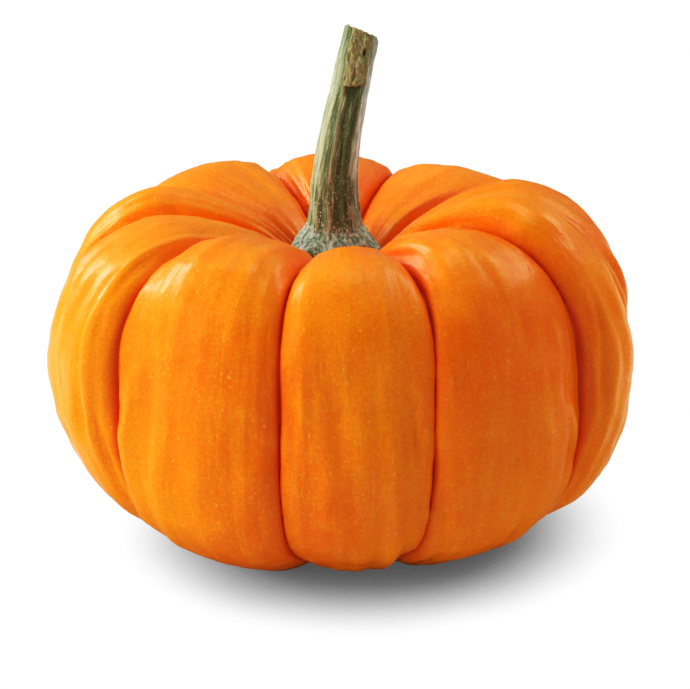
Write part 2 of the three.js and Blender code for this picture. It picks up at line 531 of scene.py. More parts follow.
def fruit_tree(outline, swell, relief):
    """The ribbed skin, laid over the cage of outlines and ribs."""
    graph, given, end = new_tree(
        "Ribbed Fruit",
        "GeometryNodeTree",
        [
            ("Cage", GEOMETRY), ("Steps per Rib", INTEGER, 36), ("Rows", INTEGER, 240),
            ("Rib Squareness", FLOAT, 2.2), ("Rib Roundness", FLOAT, 0.5),
            ("Lump Height", FLOAT, 0.0004), ("Wrinkle Height", FLOAT, 0.0005),
            ("Scar Radius", FLOAT, 0.0034), ("Material", MATERIAL),
        ],
        [("Fruit", GEOMETRY)],
    )
    geometry = ribbed_mesh(graph, given, outline, swell)
    position = read_position(graph)
    uneven = graph.group(relief, {
        "Position": position, "Grain": read_fact(graph, "grain"),
        "Crease": read_fact(graph, "crease"), "Along": read_fact(graph, "along"),
        "Lump Height": given["Lump Height"], "Wrinkle Height": given["Wrinkle Height"],
    })
    scar, scar_height = blossom_scar(graph, position, given["Scar Radius"])
    normal = graph.out(graph.add("GeometryNodeInputNormal"))
    geometry = stored(graph, geometry, {"scar": scar})
    geometry = moved(graph, geometry, "Offset", graph.scaled(normal, uneven + scar_height))
    # Where it rests, the skin is pressed level with the ground.
    east, north, up = graph.separate(read_position(graph))
    pressed = graph.combine(east, north, graph.math("SMOOTH_MAX", up, 0.0, GROUND_SOFTNESS))
    geometry = moved(graph, geometry, "Position", pressed)
    graph.feed(end.inputs["Fruit"], finished(graph, geometry, given["Material"]))
    return graph.tree


def ridge_group():
    """A rounded ridge up the stem, at the bearing At, which leans over by Lean from the foot to the cut."""
    graph, given, end = new_tree(
        "Stem Ridge",
        "GeometryNodeTree",
        [
            ("Bearing", FLOAT), ("Share", FLOAT), ("At", FLOAT), ("Lean", FLOAT),
            ("Height", FLOAT), ("Sharpness", FLOAT),
        ],
        [("Bump", FLOAT)],
    )
    at = given["At"] + given["Lean"] * (given["Share"] - 0.5)
    gap = graph.math("RADIANS", given["Bearing"] - at)
    bump = graph.math("EXPONENT", (graph.math("COSINE", gap) - 1.0) * given["Sharpness"])
    graph.feed(end.inputs["Bump"], bump * given["Height"])
    return graph.tree


def stem_ridges(graph, ridge, bearing, level):
    """All the stem's ridges together, in millimetres, and how tan they make it."""
    ridges, tan = 0.0, 0.0
    for at, lean, bump_height, sharpness, tan_share in STEM_RIDGES:
        bump = graph.group(ridge, {
            "Bearing": bearing, "Share": level, "At": float(at), "Lean": float(lean),
            "Height": 1.0, "Sharpness": float(sharpness),
        })
        ridges = bump * bump_height + ridges
        tan = bump * tan_share + tan
    return ridges, tan


def around(graph, turn, reach, height):
    """A place on a tube, given the sine and cosine of its bearing, where noise goes round without a seam."""
    return graph.combine(turn[0] * reach, turn[1] * reach, height)


def torn_patch(graph, turn, angle, bearing, height):
    """The woody patch at the front of the top, torn off along its lower edge: the patch, its bark, the recess
    under it and the small pit in it. The recess and the pit also get painted shade in the stem's material."""
    tear = graph.noise(around(graph, turn, 0.003, 0.0), 900.0, 2.0) - 0.5
    edge = height - tear * 0.0014
    above = graph.remap(edge, *PATCH_EDGE)
    patch = above * graph.remap(graph.math("COSINE", angle - 0.1), 0.66, 0.88)
    bark = graph.noise(around(graph, turn, 0.003, height * 0.7), 1300.0, 3.0, 0.6) - 0.5
    shadowed = graph.remap(edge, *RECESS_EDGE) * (1.0 - above)
    recess = shadowed * graph.remap(graph.math("COSINE", angle - 0.12), 0.85, 0.97)
    pit_across = (bearing - PIT_BEARING) / PIT_WIDTH
    pit_up = (height - PIT_HEIGHT) / PIT_TALLNESS
    pit = graph.math("EXPONENT", (pit_across * pit_across + pit_up * pit_up) * -1.0)
    return patch, bark, recess, pit


def cut_face(graph, east, north, inside):
    """The rough face of the cut, as heights, and its sunken pith."""
    flat = graph.combine(east, north, 0.0)
    rim_noise = graph.noise(flat, 700.0, 2.0) - 0.5
    fibre_ends = graph.noise(flat, 2600.0, 2.0, 0.6) - 0.5
    pith = graph.remap(inside, 0.38, 0.16)
    return rim_noise * 0.0012 + fibre_ends * 0.0005 - pith * 0.0009, pith


def stem_tree(outline, ridge):
    """The bent stem, laid over the cage of its levels, with its foot, ridges, fibres and cut end."""
    graph, given, end = new_tree(
        "Cut Stem",
        "GeometryNodeTree",
        [
            ("Cage", GEOMETRY), ("Sides", INTEGER, 192), ("Rows", INTEGER, 380),
            ("Ridge Height", FLOAT, 1.0), ("Fibre Height", FLOAT, 0.00024), ("Material", MATERIAL),
        ],
        [("Stem", GEOMETRY)],
    )
    flat, column, share = counted_grid(graph, given["Sides"] * 1.0, given["Rows"])
    bearing = column / given["Sides"] * 360.0 - 180.0
    # The first rows close the foot from below, and the last ones make the face of the cut.
    level = graph.remap(share, STEM_FOOT_ROWS, 1.0 - STEM_CUT_ROWS, smooth=False)
    under = graph.remap(share, 0.0, STEM_FOOT_ROWS, smooth=False)
    inside = graph.remap(share, 1.0, 1.0 - STEM_CUT_ROWS, smooth=False)
    on_cut = 1.0 - graph.remap(inside, 0.93, 1.0)
    levels = float(len(STEM_LEVELS) - 1)
    centre, radius, height = graph.separate(graph.group(outline, {
        "Cage": given["Cage"], "First": 0.0, "Last": levels, "Place": level * levels,
    }))
    angle = graph.math("RADIANS", bearing)
    turn = (graph.math("SINE", angle), graph.math("COSINE", angle))
    in_foot = graph.remap(height, *FOOT_FADE)
    near_cut = graph.remap(height, *CUT_FADE)
    ridges, tan = stem_ridges(graph, ridge, bearing, level)

    # Fibres are drawn out along the stem, and crumbs are as broad as they are high.
    grain = around(graph, turn, 0.0037, height * 0.11)
    fibres = graph.noise(grain, 1500.0, 2.0, 0.6) - 0.5
    knots = graph.noise(around(graph, turn, 0.0037, height * 0.6), 700.0, 2.0) - 0.5
    place = around(graph, turn, 0.0055, height)
    crumbs = graph.noise(place, 620.0, 3.0, 0.6) - 0.5
    lobes = graph.math("COSINE", angle * 5.0) * 0.07 + graph.math("COSINE", angle * 8.0 + 1.0) * 0.04
    patch, bark, recess, pit = torn_patch(graph, turn, angle, bearing, height)

    ridge_metres = ridges * MM * given["Ridge Height"]
    outside = radius + ridge_metres * (1.0 - in_foot * 0.35) + fibres * given["Fibre Height"] * 2.0
    outside = outside + knots * 0.0003 * (1.0 - in_foot)
    outside = outside + in_foot * (radius * lobes + crumbs * 0.0022)
    outside = outside + patch * (bark * 0.0013 + 0.00016) - recess * 0.0005 - pit * 0.0006
    reach = outside * under * inside
    east, north = reach * turn[0], reach * turn[1] * -1.0
    # The cut slopes away towards +X and the back.
    face, pith = cut_face(graph, east, north, inside)
    slope = (east * CUT_SLOPE[0] + north * CUT_SLOPE[1]) * near_cut
    fringe = near_cut ** 4.0 * (graph.noise(grain, 1100.0, 2.0) - 0.5) * 0.0011
    top = height + slope + fringe * (1.0 - on_cut) + on_cut * face
    skirt = in_foot * under * (crumbs * 0.001 + lobes * 0.006)
    skin = graph.combine(centre + east, north, top - skirt)

    geometry = stored(graph, flat, {
        "relief": ridges * 2.2 + fibres * 1.1 + 0.12,
        "tan": tan,
        "foot": graph.remap(height, 0.0525, 0.0485),
        "patch": patch,
        # Where the material paints shade: the recess under the torn edge and the pit.
        "recess": recess + pit,
        "cut": on_cut,
        "pith": pith * on_cut,
        "bearing": bearing,
        "level": level,
        "grain": grain,
        "place": place,
    })
    geometry = welded(graph, moved(graph, geometry, "Position", skin))
    graph.feed(end.inputs["Stem"], finished(graph, geometry, given["Material"]))
    return graph.tree


# Materials


def linear(code):
    """The colour of a hex code as red, green, blue and 1, in the renderer's linear light."""
    values = [int(code[start:start + 2], 16) / 255 for start in (1, 3, 5)]
    return tuple(v / 12.92 if v <= 0.04045 else ((v + 0.055) / 1.055) ** 2.4 for v in values) + (1.0,)


def streak_group():
    """Streaks along a surface: a mask that is 1 where a streak is full."""
    graph, given, end = new_tree(
        "Streaks",
        "ShaderNodeTree",
        [("Grain", VECTOR), ("Scale", FLOAT, 400.0), ("Threshold", FLOAT, 0.5), ("Softness", FLOAT, 0.15)],
        [("Mask", FLOAT)],
    )
    noise = graph.noise(given["Grain"], given["Scale"], 3.0, 0.55)
    low = given["Threshold"] - given["Softness"]
    high = given["Threshold"] + given["Softness"]
    graph.feed(end.inputs["Mask"], graph.remap(noise, low, high))
    return graph.tree


def speck_group():
    """Small round specks of Size, in Share of the cells of a random pattern."""
    graph, given, end = new_tree(
        "Specks",
        "ShaderNodeTree",
        [("Vector", VECTOR), ("Scale", FLOAT, 600.0), ("Size", FLOAT, 0.3), ("Share", FLOAT, 0.5)],
        [("Mask", FLOAT)],
    )
    cells = graph.add("ShaderNodeTexVoronoi", {"Vector": given["Vector"], "Scale": given["Scale"]})
    spot = graph.remap(graph.out(cells, "Distance"), given["Size"], given["Size"] * 0.35)
    chance, _, size = graph.separate(graph.out(cells, "Color"))
    chosen = graph.math("LESS_THAN", chance, given["Share"])
    graph.feed(end.inputs["Mask"], spot * chosen * (size * 0.6 + 0.4))
    return graph.tree


def new_material(name):
    material = bpy.data.materials.new(name)
    material.use_nodes = True
    material.node_tree.nodes.clear()
    graph = Graph(material.node_tree)
    shader = graph.add("ShaderNodeBsdfPrincipled")
    output = graph.add("ShaderNodeOutputMaterial")
    graph.feed(output.inputs["Surface"], graph.out(shader))
    return material, graph, shader


def color_mixer(graph, settings):
    """A way to mix two colours, each a field or the name of one of the colours in the settings."""

    def value_of(color):
        return tuple(getattr(settings, color + "_color")) if isinstance(color, str) else color

    def mix(share, first, second):
        inputs = {"Factor": share, 6: value_of(first), 7: value_of(second)}
        return graph.out(graph.add("ShaderNodeMix", inputs, data_type="RGBA"), 2)

    return mix


def layered(mix, color, layers):
    """A colour under layers of other colours, each as (share, colour)."""
    for share, layer in layers:
        color = mix(share, color, layer)
    return color


def read_facts(graph, *names):
    """What the surface says under each of those names."""
    facts = []
    for name in names:
        output = "Vector" if name in VECTOR_FACTS else "Fac"
        facts.append(graph.out(graph.add("ShaderNodeAttribute", attribute_name=name), output))
    return facts


def specks_of(graph, vector, scale, size, share):
    inputs = {"Vector": vector, "Scale": scale, "Size": size, "Share": share}
    return graph.group(shared_tree("Specks", speck_group), inputs)


def streaks_of(graph, grain, scale, threshold, softness):
    inputs = {"Grain": grain, "Scale": scale, "Threshold": threshold, "Softness": softness}
    return graph.group(shared_tree("Streaks", streak_group), inputs)


def give_bump(graph, shader, height, distance):
    bump = graph.add("ShaderNodeBump", {"Strength": 0.7, "Distance": distance, "Height": height})
    graph.feed(shader.inputs["Normal"], graph.out(bump))


def skin_material(settings):
    """Waxy orange skin: mottled, streaked along the ribs and finely speckled, with painted shade that makes
    it redder and darker down the creases.
    """
    material, graph, shader = new_material("pumpkin_skin")
    mix = color_mixer(graph, settings)
    position = graph.out(graph.add("ShaderNodeTexCoord"), "Object")
    grain, crease, along, scar, tint = read_facts(graph, "grain", "crease", "along", "scar", "rib_tint")

    broad = graph.noise(position, 38.0, 2.0, 0.55)
    mottle = graph.remap(broad + (tint - 0.5) * 0.12, 0.34, 0.68)
    streak = streaks_of(graph, grain, 520.0, 0.56, 0.14)
    cloud = graph.noise(position, 210.0, 3.0, 0.6)
    east, _, _ = graph.separate(position)
    freckles = graph.noise(position, 2100.0, 2.0, 0.6)
    outside = graph.remap(along, 0.06, 0.3, 0.3, 1.0)
    painted_crease_shade = graph.remap(crease, 0.66, 0.99) * outside
    fine = specks_of(graph, position, 900.0, 0.28, 0.4)
    coarse = specks_of(graph, position, 420.0, 0.17, 0.25)
    speckled = graph.math("MAXIMUM", fine * 0.22, coarse * 0.35) * (1.0 - painted_crease_shade)
    color = layered(mix, mix(mottle, "deep", "body"), [
        (streak * 0.22, "streak"),
        (graph.remap(cloud, 0.5, 0.75, 0.0, 0.25), "streak"),
        # Painted light: the west side, towards the key light, is painted yellower.
        (graph.remap(east, *PAINTED_LIGHT_SIDE) * 0.4, "streak"),
        (graph.remap(along, 0.82, 1.0) * 0.45, "underside"),
        (graph.remap(freckles, 0.5, 0.68, 0.0, 0.35), "streak"),
        (graph.remap(freckles, 0.48, 0.32, 0.0, 0.4), "deep"),
        # Painted shade: the ribs' flanks turn darker towards the creases.
        (graph.remap(crease, 0.12, 0.7) * 0.2 * outside, "flank"),
        # Painted shade: the creases are painted a darker red-orange, less so near the stem.
        (painted_crease_shade * 0.85, "crease"),
        (speckled, "speck"),
        (scar, "scar"),
    ])
    graph.feed(shader.inputs["Base Color"], color)

    patchy = graph.noise(position, 160.0, 2.0)
    roughness = graph.remap(patchy, 0.3, 0.7, 0.32, 0.46) + scar * 0.35
    graph.feed(shader.inputs["Roughness"], roughness)
    pores = specks_of(graph, position, 900.0, 0.36, 0.4)
    peel = graph.noise(position, 1300.0, 2.0, 0.5)
    furrows = graph.noise(grain, 1000.0, 2.0, 0.5)
    height = peel * 0.6 - pores * 0.6 - fine * 0.3 + streak * 0.6 + cloud * 0.8 + freckles * 0.4
    height = height + furrows * graph.remap(crease, 0.02, 0.4, 0.4, 1.2)
    give_bump(graph, shader, height, 0.00009)
    wax = {
        "Subsurface Weight": 0.12, "Subsurface Radius": (1.0, 0.22, 0.02), "Subsurface Scale": 0.003,
        "IOR": 1.5, "Coat Weight": 0.1, "Coat Roughness": 0.2,
    }
    for name, value in wax.items():
        shader.inputs[name].default_value = value
    return material


def shank_color(graph, mix, level, facts, rough_fibre):
    """The stalk between its foot and its top: dark grooves, pale ridges and tan strips."""
    relief, tan, bearing = facts
    raised = graph.remap(relief + rough_fibre, 0.05, 0.8)
    low_down = graph.remap(level, 0.6, 0.4)
    # The ridges at about 68 degrees, on the stem's right side, are paler and grey-blue.
    grey_side = graph.remap(graph.math("ABSOLUTE", bearing - 68.0), 34.0, 18.0)
    # The ridges turn towards the shank colour low down and near the top.
    toward_shank = graph.math("MAXIMUM", low_down * 0.65, graph.remap(level, 0.76, 0.94) * 0.6)
    ridge_color = mix(toward_shank, mix(grey_side, "ridge", "grey"), "shank")
    color = layered(mix, mix(raised, "groove", "shank"), [
        (graph.remap(relief + rough_fibre * 0.8, 0.5, 1.0), ridge_color),
        (graph.remap(tan + rough_fibre * 0.7, 0.3, 0.85) * 0.85, "tan"),
    ])
    return color, low_down


def stem_material(settings):
    """Dry stalk: pale fibrous ridges, dark olive grooves, a powdery foot and a tan, torn top, with painted
    shade in the recess under the torn edge and in its pit.
    """
    material, graph, shader = new_material("dry_stem")
    mix = color_mixer(graph, settings)
    grain, place, foot, patch, recess, cut, pith = read_facts(
        graph, "grain", "place", "foot", "patch", "recess", "cut", "pith",
    )
    level, *shank_facts = read_facts(graph, "level", "relief", "tan", "bearing")
    fibre = graph.noise(grain, 2300.0, 3.0, 0.65)
    grit = graph.noise(place, 3600.0, 2.0, 0.7)
    rough_fibre = (fibre - 0.5) * 1.1 + (grit - 0.5) * 0.9
    dark_streak = streaks_of(graph, grain, 2600.0, 0.53, 0.06)
    green = graph.remap(graph.noise(grain, 1200.0, 3.0), 0.45, 0.6)
    dust = specks_of(graph, place, 2100.0, 0.5, 0.42)
    color, low_down = shank_color(graph, mix, level, shank_facts, rough_fibre)
    color = layered(mix, color, [
        (dark_streak * (low_down * 0.45 + 0.4), "groove"),
        (green * 0.3, "green"),
        (dust * (low_down * 0.45 + 0.3), "dust"),
    ])

    powder = graph.remap(graph.noise(place, 1700.0, 3.0, 0.7), 0.38, 0.64)
    brown = graph.remap(graph.noise(place, 420.0, 2.0), 0.5, 0.62) * graph.remap(level, 0.1, 0.04)
    foot_color = layered(mix, mix(powder, "foot_dark", "foot"), [
        (specks_of(graph, place, 1200.0, 0.5, 0.35) * 0.7, "dust"),
        (brown * 0.85, "rim"),
    ])
    bark = graph.noise(place, 1500.0, 4.0, 0.7) * 0.6 + fibre * 0.4
    moss = graph.remap(graph.noise(place, 520.0, 2.0), 0.52, 0.66)
    wood_color = mix(moss * 0.55, mix(graph.remap(bark, 0.35, 0.65), "bark", "wood"), "moss")
    pale_pith = graph.remap(graph.noise(place, 2600.0, 2.0), 0.35, 0.65, 0.3, 0.9)
    color = layered(mix, color, [
        (graph.remap(foot + (powder - 0.5) * 0.6, 0.15, 0.85) * 0.92, foot_color),
        (graph.math("MAXIMUM", patch, cut * 0.9), wood_color),
        (pith * pale_pith, "rim"),
        # Painted shade: the recess under the torn edge and the pit are darkened with the groove colour.
        (graph.remap(recess, 0.1, 0.8) * 0.85, "groove"),
    ])
    graph.feed(shader.inputs["Base Color"], color)
    graph.feed(shader.inputs["Roughness"], graph.remap(fibre, 0.3, 0.7, 0.95, 0.72))
    height = fibre * 1.2 + powder * foot * 0.8 + bark * patch + dust * 0.3 - dark_streak * 0.6
    give_bump(graph, shader, height, 0.00012)
    shader.inputs["Specular IOR Level"].default_value = 0.3
    return material


def floor_material(settings):
    """A pale floor that glows evenly, with a painted shadow: it is dimmed, without any tint, where the
    pumpkin stands over it.
    """
    material = bpy.data.materials.new("pale_floor")
    material.use_nodes = True
    material.node_tree.nodes.clear()
    graph = Graph(material.node_tree)
    towards_light = graph.out(graph.add("ShaderNodeVectorMath", {0: FLOOR_LIGHT}, operation="NORMALIZE"))
    occlusion = graph.add("ShaderNodeAmbientOcclusion", {
        "Distance": settings.shadow_reach, "Normal": towards_light,
    }, samples=32)
    open_sky = graph.out(occlusion, "AO")
    # Painted shadow: the floor's glow is dimmed where the pumpkin blocks its open sky.
    shade = graph.remap(open_sky, 0.03, 0.56, settings.shadow_floor, 1.0)
    # In reflections the floor is bright close behind the pumpkin and dim elsewhere.
    east, north, _ = graph.separate(graph.out(graph.add("ShaderNodeTexCoord"), "Object"))
    far = graph.math("SQRT", east * east + north * north)
    near = graph.remap(far, 0.5, 0.2) * graph.remap(north, -0.03, 0.03)
    reflected = settings.reflected_front + near * settings.reflected_floor
    path = graph.add("ShaderNodeLightPath")
    unseen = settings.floor_glow + (reflected - settings.floor_glow) * graph.out(path, "Is Glossy Ray")
    strength = shade * (unseen + (STUDIO_WHITE - unseen) * graph.out(path, "Is Camera Ray"))
    glow = graph.add("ShaderNodeEmission", {"Color": tuple(settings.floor_color), "Strength": strength})
    output = graph.add("ShaderNodeOutputMaterial")
    graph.feed(output.inputs["Surface"], graph.out(glow))
    return material


# Pieces


def point_cage(name, points, facts=None):
    """A mesh of loose points in metres, with the named numbers of facts on each of them."""
    mesh = bpy.data.meshes.new(name)
    mesh.from_pydata([tuple(value * MM for value in point) for point in points], [], [])
    for fact, values in (facts or {}).items():
        attribute = mesh.attributes.new(fact, "FLOAT", "POINT")
        attribute.data.foreach_set("value", values)
    return mesh


def fruit_cage():
    """The crest's points, the groove's points, then one point for each rib, which holds its facts."""
    points = [(radius, 0, height) for radius, height in CREST_OUTLINE + GROOVE_OUTLINE]
    facts = {}
    for place, name in enumerate(RIB_FACTS):
        facts[name] = [0.0] * len(points) + [float(rib[place]) for rib in RIBS]
    return point_cage("fruit_cage", points + [(0, 0, 0)] * len(RIBS), facts)


def grown(name, cage, tree, values):
    """The plain mesh that a node tree grows over a cage."""
    grower = bpy.data.objects.new(name, cage)
    bpy.context.scene.collection.objects.link(grower)
    modifier = grower.modifiers.new("Growth", "NODES")
    modifier.node_group = tree
    for socket in tree.interface.items_tree:
        if socket.in_out == "INPUT" and socket.name in values:
            modifier[socket.identifier] = values[socket.name]
    depsgraph = bpy.context.evaluated_depsgraph_get()
    evaluated = grower.evaluated_get(depsgraph)
    mesh = bpy.data.meshes.new_from_object(evaluated, preserve_all_data_layers=True, depsgraph=depsgraph)
    grower.modifiers.remove(modifier)
    bpy.data.objects.remove(grower)
    bpy.data.meshes.remove(cage)
    if not mesh.polygons:
        raise RuntimeError(name + " came out empty")
    mesh.name = name
    return mesh


def box_of(mesh):
    corners = [vertex.co for vertex in mesh.vertices]
    low = Vector([min(corner[axis] for corner in corners) for axis in range(3)])
    high = Vector([max(corner[axis] for corner in corners) for axis in range(3)])
    return low, high


def fruit_axis(tree):
    """Where the fruit's axis stands, from the plain ribbed shape and the box of the CAD's fruit."""
    plain = grown("plain_fruit", fruit_cage(), tree, {
        "Steps per Rib": 12, "Rows": 60, "Lump Height": 0.0, "Wrinkle Height": 0.0,
    })
    low, high = box_of(plain)
    bpy.data.meshes.remove(plain)
    cad_low, cad_high = (Vector(corner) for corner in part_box("fruit"))
    axis = (cad_low + cad_high - low - high) / 2
    axis.z = 0.0
    return axis


def shared_tree(name, make, *parts):
    """The node group of that name, made once."""
    return bpy.data.node_groups.get(name) or make(*parts)


def ribbed_fruit_tree():
    outline = shared_tree("Outline Point", outline_group)
    swell = shared_tree("Rib Swell", swell_group)
    relief = shared_tree("Skin Relief", skin_relief_group)
    return shared_tree("Ribbed Fruit", fruit_tree, outline, swell, relief)


def finished_piece(name, mesh, node):
    """The object of a finished mesh, which replaces the CAD's node and rides where it rode."""
    piece = bpy.data.objects.new(name, mesh)
    bpy.context.scene.collection.objects.link(piece)
    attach(piece, "root")
    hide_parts(node)
    return piece


def color_setting(name, description, code):
    """A colour, given as a hex code."""
    return bpy.props.FloatVectorProperty(
        name=name, description=description, default=linear(code), size=4, min=0.0, max=1.0, subtype="COLOR",
    )


def length_setting(name, description, default, least=0.0):
    """A length in metres."""
    return bpy.props.FloatProperty(
        name=name, description=description, default=default, min=least, unit="LENGTH", subtype="DISTANCE",
    )


def brightness_setting(name, description, default):
    """A brightness, where 1 is white."""
    return bpy.props.FloatProperty(name=name, description=description, default=default, min=0.0)


class PumpkinFruitSettings(bpy.types.PropertyGroup):
    """Sizes and colours of the ribbed fruit."""

    steps_per_rib: bpy.props.IntProperty(
        name="Steps per Rib", description="Faces across each rib", default=36, min=8, max=80,
    )
    rows: bpy.props.IntProperty(
        name="Rows", description="Points from the stem cavity to the blossom end",
        default=264, min=60, max=600,
    )
    lump_height: length_setting("Lump Height", "Height of the skin's broad lumps", 0.0006)
    wrinkle_height: length_setting("Wrinkle Height", "Height of the wrinkles along the ribs", 0.0015)
    scar_radius: length_setting("Scar Radius", "Radius of the blossom scar underneath", 0.0034, 0.001)
    body_color: color_setting("Body Color", "Colour of most of the skin", "#FF9300")
    deep_color: color_setting("Deep Color", "Colour of the skin's deeper patches", "#F87D00")
    # This colour is also painted as light onto the west side of the skin.
    streak_color: color_setting("Streak Color", "Colour of the paler streaks along the ribs", "#FFAA1C")
    # Painted shade: this colour darkens the ribs' flanks towards the creases.
    flank_color: color_setting("Flank Color", "Colour of the ribs' flanks", "#F07400")
    # Painted shade: this colour darkens the creases between the ribs.
    crease_color: color_setting("Crease Color", "Colour down in the creases between the ribs", "#DC4A00")
    underside_color: color_setting("Underside Color", "Colour towards the blossom end", "#F4A83C")
    speck_color: color_setting("Speck Color", "Colour of the fine specks", "#FFC878")
    scar_color: color_setting("Scar Color", "Colour of the corky blossom scar", "#9A7A50")


class PumpkinStemSettings(bpy.types.PropertyGroup):
    """Sizes and colours of the cut stem."""

    sides: bpy.props.IntProperty(
        name="Sides", description="Faces round the stem", default=192, min=32, max=320,
    )
    rows: bpy.props.IntProperty(
        name="Rows", description="Points from the middle of the foot to the middle of the cut",
        default=380, min=80, max=600,
    )
    ridge_height: bpy.props.FloatProperty(
        name="Ridge Height", description="How far the ridges stand out, against their normal height",
        default=1.0, min=0.0, subtype="FACTOR",
    )
    fibre_height: length_setting("Fibre Height", "Height of the fibres along the stem", 0.00024)
    shank_color: color_setting("Shank Color", "Colour between the grooves and the ridges", "#8B9879")
    ridge_color: color_setting("Ridge Color", "Colour of the tops of the ridges", "#CBCDAA")
    # This colour is also painted as shade into the recess under the woody patch and into its pit.
    groove_color: color_setting("Groove Color", "Colour down in the grooves", "#666D43")
    # The grey colour goes on the ridges at about 68 degrees, on the stem's right side.
    grey_color: color_setting("Grey Color", "Colour of the weathered ridge", "#DCE6E6")
    tan_color: color_setting("Tan Color", "Colour of the dried, tan strips", "#AC9E80")
    green_color: color_setting("Green Color", "Colour of the greener patches", "#6C8C74")
    foot_color: color_setting("Foot Color", "Colour of the powdery foot", "#C4D0C6")
    foot_dark_color: color_setting("Foot Dark Color", "Colour between the powder on the foot", "#78927E")
    rim_color: color_setting("Rim Color", "Colour of the foot's edge and of the pith", "#80582F")
    dust_color: color_setting("Dust Color", "Colour of the pale specks", "#D9DCD0")
    wood_color: color_setting("Wood Color", "Colour of the woody top", "#C0B690")
    bark_color: color_setting("Bark Color", "Colour of the woody top's hollows", "#98906A")
    moss_color: color_setting("Moss Color", "Colour of the greener parts of the woody top", "#9AA26C")


class PumpkinStageSettings(bpy.types.PropertyGroup):
    """The floor, the lights and the camera."""

    floor_size: length_setting("Floor Size", "Side of the square floor", 4.0, 0.5)
    floor_color: color_setting("Floor Color", "Colour of the floor", "#FFFFFF")
    floor_glow: brightness_setting("Floor Glow", "How brightly the floor lights the pumpkin from below", 0.8)
    shadow_reach: length_setting(
        "Shadow Reach", "How far from the pumpkin its soft shadow reaches", 0.026, 0.001,
    )
    shadow_floor: bpy.props.FloatProperty(
        name="Shadow Floor", description="Brightness of the darkest part of the shadow", default=0.15,
        min=0.0, max=1.0, subtype="FACTOR",
    )
    sky_front: brightness_setting("Sky Front", "Brightness of the studio on the camera's side", 0.3)
    sky_back: brightness_setting("Sky Back", "Brightness of the studio behind the pumpkin", 0.8)
    reflected_front: brightness_setting(
        "Reflected Front", "Brightness of the front of the studio in reflections", 0.03,
    )
    reflected_floor: brightness_setting(
        "Reflected Floor", "Brightness of the floor behind the pumpkin in reflections", 1.0,
    )
    reflected_back: brightness_setting(
        "Reflected Back", "Brightness of the back of the studio in reflections", 0.35,
    )
    camera_distance: length_setting(
        "Camera Distance", "From the camera to the middle of the fruit", 0.44, 0.1,
    )
    camera_elevation: bpy.props.FloatProperty(
        name="Camera Elevation", description="How far the camera looks down", default=math.radians(22.2),
        unit="ROTATION", subtype="ANGLE",
    )
    camera_roll: bpy.props.FloatProperty(
        name="Camera Roll", description="How far the camera leans over", default=math.radians(1.6),
        unit="ROTATION", subtype="ANGLE",
    )
    camera_lens: bpy.props.FloatProperty(
        name="Camera Lens", description="Focal length in millimetres, for a sensor 36 mm wide", default=145.0,
        min=10.0,
    )


# Operators


class PUMPKIN_OT_fruit(bpy.types.Operator):
    """Grow the ribbed fruit and give it its skin"""

    bl_idname = "pumpkin.fruit"
    bl_label = "Build Fruit"

    def execute(self, context):
        settings = context.scene.pumpkin_fruit
        tree = ribbed_fruit_tree()
        mesh = grown("ribbed_fruit", fruit_cage(), tree, {
            "Steps per Rib": settings.steps_per_rib,
            "Rows": settings.rows,
            "Lump Height": settings.lump_height,
            "Wrinkle Height": settings.wrinkle_height,
            "Scar Radius": settings.scar_radius,
            "Material": skin_material(settings),
        })
        mesh.transform(Matrix.Translation(fruit_axis(tree)))
        finished_piece("ribbed_fruit", mesh, "fruit")
        return {"FINISHED"}


class PUMPKIN_OT_stem(bpy.types.Operator):
    """Grow the cut stem and give it its dry, powdery surface"""

    bl_idname = "pumpkin.stem"
    bl_label = "Build Stem"

    def execute(self, context):
        settings = context.scene.pumpkin_stem
        outline = shared_tree("Outline Point", outline_group)
        ridge = shared_tree("Stem Ridge", ridge_group)
        tree = shared_tree("Cut Stem", stem_tree, outline, ridge)
        levels = [(centre, radius, height) for centre, height, radius in STEM_LEVELS]
        mesh = grown("cut_stem", point_cage("stem_cage", levels), tree, {
            "Sides": settings.sides,
            "Rows": settings.rows,
            "Ridge Height": settings.ridge_height,
            "Fibre Height": settings.fibre_height,
            "Material": stem_material(settings),
        })
        mesh.transform(Matrix.Translation(fruit_axis(ribbed_fruit_tree())))
        finished_piece("cut_stem", mesh, "stem")
        return {"FINISHED"}


def looking_matrix(place, target, roll=0.0):
    """The matrix of a camera or light at place that looks at target, leaning clockwise by roll."""
    turn = (target - place).to_track_quat("-Z", "Y").to_matrix().to_4x4()
    return Matrix.Translation(place) @ turn @ Matrix.Rotation(-roll, 4, "Z")


def add_softbox(name, place, target, width, height, power, glossy):
    light = bpy.data.lights.new(name, "AREA")
    light.shape = "RECTANGLE"
    light.size = width
    light.size_y = height
    light.energy = power
    lamp = bpy.data.objects.new(name, light)
    lamp.matrix_world = looking_matrix(Vector(place), target)
    lamp.visible_glossy = glossy
    bpy.context.scene.collection.objects.link(lamp)


def add_floor(settings):
    half = settings.floor_size / 2
    mesh = bpy.data.meshes.new("floor")
    low = -FLOOR_GAP
    corners = [(-half, -half, low), (half, -half, low), (half, half, low), (-half, half, low)]
    mesh.from_pydata(corners, [], [(0, 1, 2, 3)])
    mesh.materials.append(floor_material(settings))
    floor = bpy.data.objects.new("floor", mesh)
    bpy.context.scene.collection.objects.link(floor)


